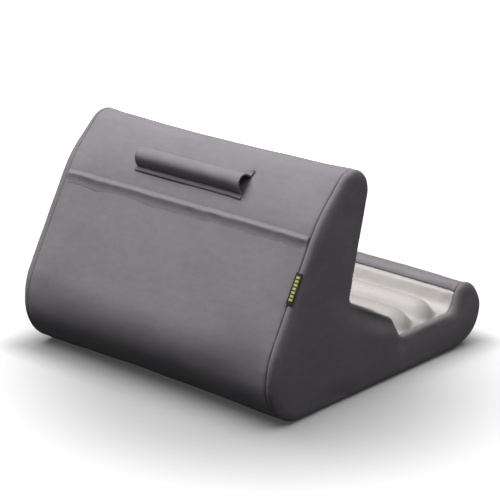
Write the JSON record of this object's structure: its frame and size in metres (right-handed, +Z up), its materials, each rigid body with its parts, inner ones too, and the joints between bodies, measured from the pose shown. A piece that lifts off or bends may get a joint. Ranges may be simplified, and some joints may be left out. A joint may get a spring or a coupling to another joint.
{
  "type": "tablet pillow stand",
  "caption": "Soft foam wedge stand with a ridged tray and padded front lip that props a tablet, with a stylus sleeve and storage pocket on its back and a zip-off cover.",
  "frame": {"origin": "on the table under the middle of the stand's bounding box", "axes": "X runs across the stand from side panel to side panel, the lip and tray face -Y, the sloped back with the sleeve and pocket faces +Y, Z is up"},
  "size_m": [0.268, 0.267, 0.1858],
  "materials": {
    "cover_grey": "brushed micro-suede",
    "pocket_grey": "brushed micro-suede",
    "sleeve_grey": "brushed micro-suede",
    "side_grey": "brushed micro-suede",
    "tray_lining": "smooth satin lining",
    "base_cloth": "plain woven",
    "foam": "open-cell foam",
    "foam_soft": "open-cell foam",
    "label_black": "woven satin ribbon",
    "zip_tape": "woven tape",
    "zip_teeth": "moulded nylon",
    "zip_metal": "satin enamel",
    "grip_rubber": "matte silicone"
  },
  "bodies": {
    "stand": {"base_foam": "foam", "wedge_foam": "foam", "lip_foam": "foam_soft", "tray_ridge_foam": "foam_soft", "back_panel": "cover_grey", "pocket_panel": "pocket_grey", "pocket_hem": "pocket_grey", "lip_panel": "cover_grey", "tray_panel": "tray_lining", "left_side_panel": "side_grey", "right_side_panel": "side_grey", "base_panel": "base_cloth", "base_rear_panel": "base_cloth", "grip_dots": "grip_rubber", "stylus_sleeve": "sleeve_grey", "zip_tape_front": "zip_tape", "zip_tape_rear": "zip_tape", "zip_teeth_front": "zip_teeth", "zip_teeth_rear": "zip_teeth", "zip_end_stops": "zip_metal"},
    "slider": {"zip_slider": "zip_metal"},
    "pull_tab": {"zip_pull_tab": "zip_metal"},
    "label": {"woven_label": "label_black"}
  },
  "joints": [
    {"name": "zip_slide", "type": "slide", "parent": "stand", "child": "slider", "axis": [-1, 0, 0], "range_m": [0, 0.217], "deforming": ["zip_teeth_front", "zip_teeth_rear"]},
    {"name": "pull_tab_hinge", "type": "hinge", "parent": "slider", "child": "pull_tab", "pos_m": [0.112, 0.08, 0.0012], "axis": [0, -1, 0], "range_deg": [0, 160]},
    {"name": "label_flap", "type": "hinge", "parent": "stand", "child": "label", "pos_m": [-0.128, 0.10496, 0.10793], "axis": [0, 0.4765, -0.8792], "range_deg": [0, 90]}
  ]
}
